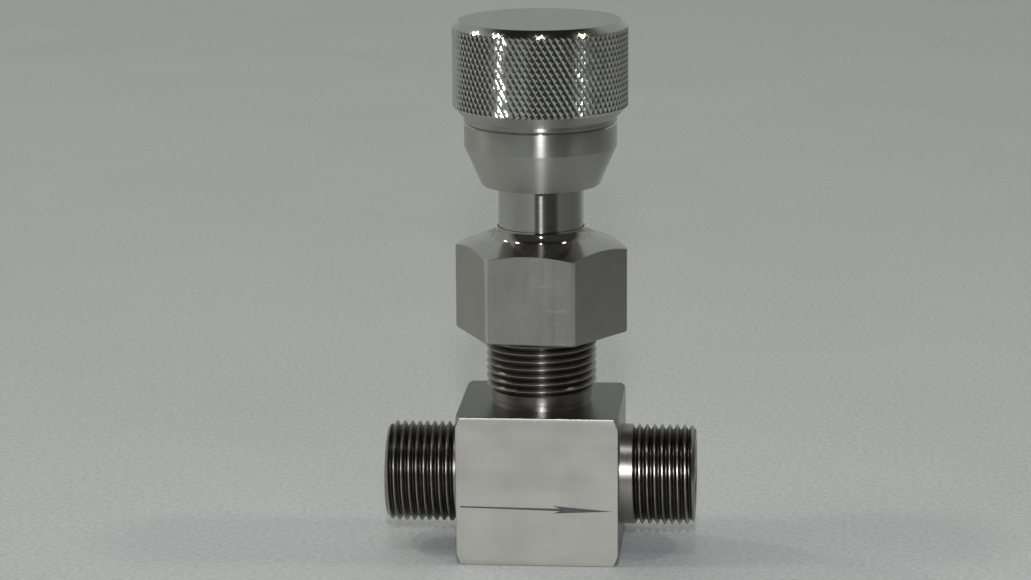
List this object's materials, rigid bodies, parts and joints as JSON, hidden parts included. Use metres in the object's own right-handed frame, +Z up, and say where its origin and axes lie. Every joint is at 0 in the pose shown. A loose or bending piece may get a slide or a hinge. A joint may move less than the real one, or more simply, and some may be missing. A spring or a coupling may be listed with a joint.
{
  "type": "needle valve",
  "caption": "Square-bodied metal needle valve with threaded tube ports in line, a hexagon union nut, a guide barrel and a knurled round knob on a rising screw spindle.",
  "frame": {"origin": "centre of the block's bottom face, on the spindle's axis", "axes": "+Z up the spindle to the knob; +X along the flow, out of the outlet port; -Y out of the marked front face"},
  "size_m": [0.0616, 0.0344, 0.1064],
  "materials": {
    "body_metal": "titanium, ground faces with turned and milled edges",
    "nut_metal": "titanium, milled flats and a bright turned cone",
    "barrel_metal": "titanium, finely turned",
    "knob_metal": "titanium, turned, with a knurled rim",
    "inner_metal": "titanium, turned",
    "hard_steel": "hardened and ground",
    "bronze": "turned bronze",
    "ptfe": "waxy white PTFE"
  },
  "bodies": {
    "body": {"valve_body": "body_metal", "seat_insert": "hard_steel", "packing_washer": "inner_metal", "packing_ring_1": "ptfe", "packing_ring_2": "ptfe", "packing_ring_3": "ptfe", "packing_ring_4": "ptfe", "packing_gland": "inner_metal", "bonnet": "barrel_metal", "union_nut": "nut_metal", "stem_bush": "bronze"},
    "needle": {"needle": "inner_metal"},
    "spindle": {"stem": "inner_metal", "thrust_ball": "hard_steel", "needle_pin_1": "hard_steel", "needle_pin_2": "hard_steel", "knob_skirt": "knob_metal", "knob_washer": "inner_metal", "knob_nut": "inner_metal", "knob_cap": "knob_metal"}
  },
  "joints": [
    {"name": "needle_lift", "type": "slide", "parent": "body", "child": "needle", "axis": [0, 0, 1], "range_m": [0, 0.005]},
    {"name": "knob_turn", "type": "hinge", "parent": "needle", "child": "spindle", "pos_m": [0, 0, 0.096], "axis": [0, 0, 1], "range_deg": [0, 1800]}
  ],
  "couplings": [
    {"joint": "knob_turn", "follows": "needle_lift", "rad_per_m": 6283.2}
  ]
}
